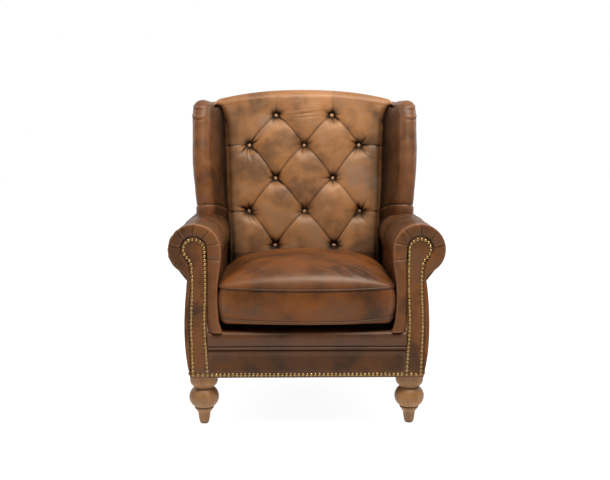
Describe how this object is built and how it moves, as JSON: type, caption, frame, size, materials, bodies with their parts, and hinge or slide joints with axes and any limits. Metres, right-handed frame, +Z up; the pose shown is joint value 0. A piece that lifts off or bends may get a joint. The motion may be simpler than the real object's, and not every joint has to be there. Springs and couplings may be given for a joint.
{
  "type": "upholstered armchair",
  "caption": "Leather wing armchair with a deep-buttoned raked back, scroll arms with nailed facings, a loose piped seat cushion and turned front legs.",
  "frame": {"origin": "on the floor, under the centre of the bounding box", "axes": "+Z up, -Y the way the chair faces, +X to the right as seen from the front"},
  "size_m": [0.874, 0.8358, 1.1],
  "materials": {
    "leather": "satin",
    "button_leather": "satin",
    "brass": "satin",
    "zip_brass": "satin",
    "leg_wood": "satin",
    "frame_wood": "matte",
    "steel": "satin",
    "foam": "matte",
    "board": "matte",
    "cloth": "matte",
    "twine": "matte",
    "glide": "matte"
  },
  "bodies": {
    "chair": {"arm_cover_left": "leather", "arm_cover_right": "leather", "arm_front_border_left": "leather", "arm_front_border_right": "leather", "arm_inner_boards": "frame_wood", "arm_pad_left": "foam", "arm_pad_right": "foam", "arm_post_left": "frame_wood", "arm_post_right": "frame_wood", "arm_top_rail_left": "frame_wood", "arm_top_rail_right": "frame_wood", "back_board": "board", "back_pad": "foam", "back_post_left": "frame_wood", "back_post_right": "frame_wood", "back_webbing": "cloth", "button_twines": "twine", "corner_blocks": "frame_wood", "crest_cover": "leather", "crest_pad": "foam", "crest_rail": "frame_wood", "deck_cover": "cloth", "deck_pad": "foam", "dust_cover": "cloth", "edge_roll_cover": "leather", "edge_roll_pad": "foam", "facing_panel_left": "leather", "facing_panel_right": "leather", "floor_glides": "glide", "front_border": "leather", "front_leg_left": "leg_wood", "front_leg_right": "leg_wood", "front_nails": "brass", "front_rail": "frame_wood", "front_welt": "leather", "hanger_bolts": "steel", "inside_back_cover": "leather", "lumbar_rail": "frame_wood", "outside_arm_left": "leather", "outside_arm_right": "leather", "outside_back_cover": "leather", "rear_leg_left": "leg_wood", "rear_leg_right": "leg_wood", "rear_rail": "frame_wood", "seat_springs": "steel", "side_nails": "brass", "side_rail_left": "frame_wood", "side_rail_right": "frame_wood", "spring_clips": "steel", "tufting_buttons": "button_leather", "wing_boards": "frame_wood", "wing_cover_left": "leather", "wing_cover_right": "leather", "wing_pad_left": "foam", "wing_pad_right": "foam"},
    "cushion": {"cushion_core": "foam", "cushion_casing": "leather", "cushion_welts": "leather", "cushion_zip": "cloth"},
    "zip_slider": {"zip_slider": "zip_brass"}
  },
  "joints": [
    {"name": "cushion_slide", "type": "slide", "parent": "chair", "child": "cushion", "axis": [0, -0.9962, 0.0872], "range_m": [0, 0.6]},
    {"name": "zip_slide", "type": "slide", "parent": "cushion", "child": "zip_slider", "axis": [1, 0, 0], "range_m": [0, 0.43]}
  ]
}
